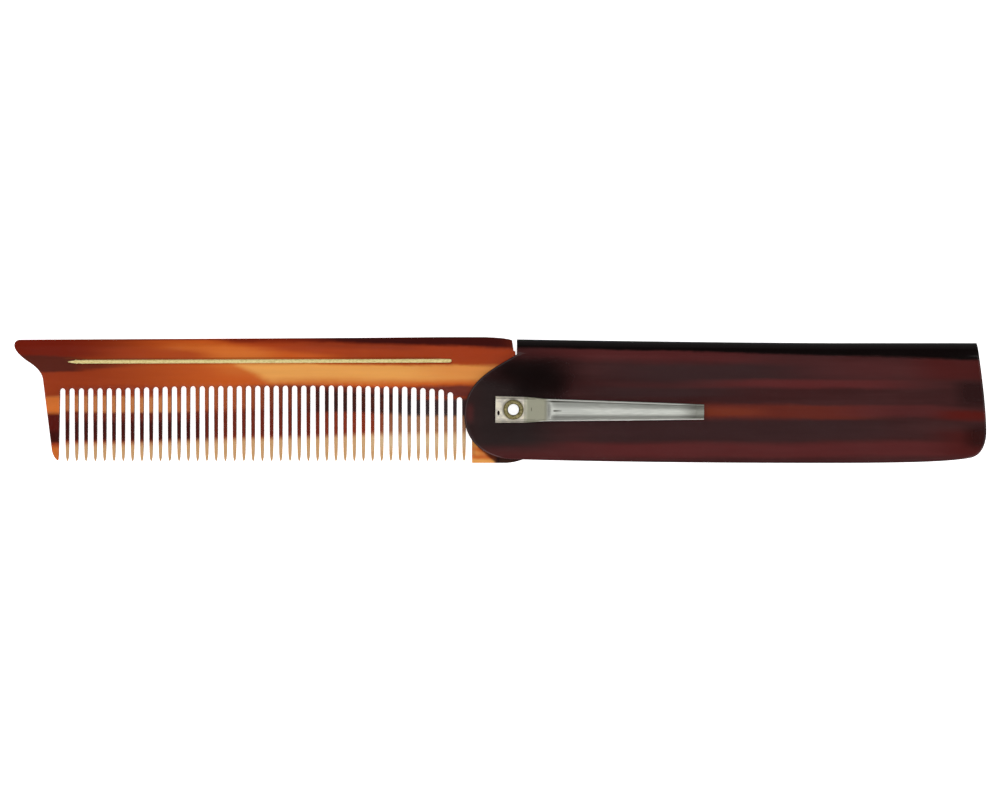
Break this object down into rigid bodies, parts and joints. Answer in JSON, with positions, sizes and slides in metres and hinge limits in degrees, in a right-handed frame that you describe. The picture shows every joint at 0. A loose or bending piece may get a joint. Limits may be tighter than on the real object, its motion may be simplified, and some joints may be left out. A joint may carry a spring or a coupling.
{
  "type": "folding pocket comb with clip",
  "caption": "Fine-toothed comb blade that pivots out of a folded sheet handle with a spring pocket clip, shown open and lying flat.",
  "frame": {"origin": "under the middle of the bounding box, on the plane of the handle's back face", "axes": "+X from the blade's nose to the handle's far end, +Y from the tooth tips to the spine, +Z out of the front face with the clip"},
  "size_m": [0.1944, 0.0252, 0.0099],
  "materials": {
    "amber_acetate": "polished translucent acetate, amber with red-brown and dark streaks",
    "gold_leaf": "satin gold leaf",
    "dark_acetate": "polished acetate, oxblood to near black with rust-red streaks",
    "bright_steel": "bright nickel-plated sheet steel",
    "old_brass": "aged brass, a little dull"
  },
  "bodies": {
    "grip": {"handle": "dark_acetate", "pocket_clip": "bright_steel", "pivot_eyelet": "old_brass"},
    "comb": {"comb_blade": "amber_acetate", "spine_line": "gold_leaf"}
  },
  "joints": [
    {"name": "comb_fold", "type": "hinge", "parent": "grip", "child": "comb", "pos_m": [0.00268, -0.00192, 0.0034], "axis": [0, 0, 1], "range_deg": [0, 180]}
  ]
}
